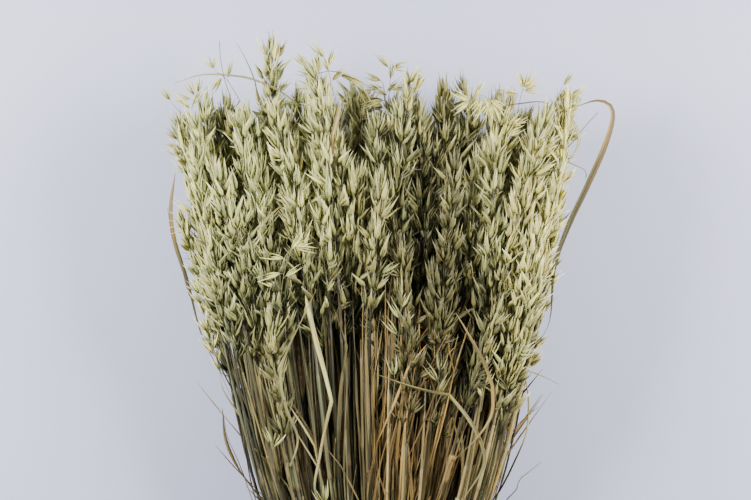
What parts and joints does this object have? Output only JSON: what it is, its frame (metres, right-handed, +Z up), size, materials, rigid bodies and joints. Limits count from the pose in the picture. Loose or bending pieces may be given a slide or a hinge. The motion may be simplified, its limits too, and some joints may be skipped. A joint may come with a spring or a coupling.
{
  "type": "sheaf of dried oat stalks",
  "caption": "Fan-shaped sheaf of dried oat stalks with dense drooping heads and a few dry leaves, tied with twine near its cut ends, lying flat.",
  "frame": {"origin": "under the middle of the sheaf's bounding box, on the surface that the sheaf lies on", "axes": "+Y along the sheaf from the cut ends to the heads, which is its longest extent; +Z up from the surface, its shortest extent; +X across the sheaf"},
  "size_m": [0.5006, 0.7896, 0.1529],
  "materials": {
    "straw": "dry pale green-gold straw and chaff, matt with a faint sheen on the stems",
    "dry_leaf": "thin dry leaf, tan to orange-brown, fine parallel veins",
    "twine": "matt twisted jute"
  },
  "bodies": {
    "root": {"twine_tie": "twine", "leaf_right_arch": "dry_leaf", "leaf_left_edge": "dry_leaf", "leaf_lower_left": "dry_leaf", "leaf_lower_right": "dry_leaf", "leaf_across_front": "dry_leaf", "leaf_front_right": "dry_leaf", "leaf_pale_folded": "dry_leaf", "leaf_front_left": "dry_leaf", "stalk_01": "straw", "stalk_02": "straw", "stalk_03": "straw", "stalk_04": "straw", "stalk_05": "straw", "stalk_06": "straw", "stalk_07": "straw", "stalk_08": "straw", "stalk_09": "straw", "stalk_10": "straw", "stalk_11": "straw", "stalk_12": "straw", "stalk_13": "straw", "stalk_14": "straw", "stalk_15": "straw", "stalk_16": "straw", "stalk_17": "straw", "stalk_18": "straw", "stalk_19": "straw", "stalk_20": "straw", "stalk_21": "straw", "stalk_22": "straw", "stalk_23": "straw", "stalk_24": "straw", "stalk_25": "straw", "stalk_26": "straw", "stalk_27": "straw", "stalk_28": "straw", "stalk_29": "straw", "stalk_30": "straw", "stalk_31": "straw", "stalk_32": "straw", "stalk_33": "straw", "stalk_34": "straw", "stalk_35": "straw", "stalk_36": "straw", "stalk_37": "straw", "stalk_38": "straw", "stalk_39": "straw", "stalk_40": "straw", "stalk_41": "straw", "stalk_42": "straw", "stalk_43": "straw", "stalk_44": "straw", "stalk_45": "straw", "stalk_46": "straw", "stalk_47": "straw", "stalk_48": "straw", "stalk_49": "straw", "stalk_50": "straw", "stalk_51": "straw"}
  },
  "joints": []
}
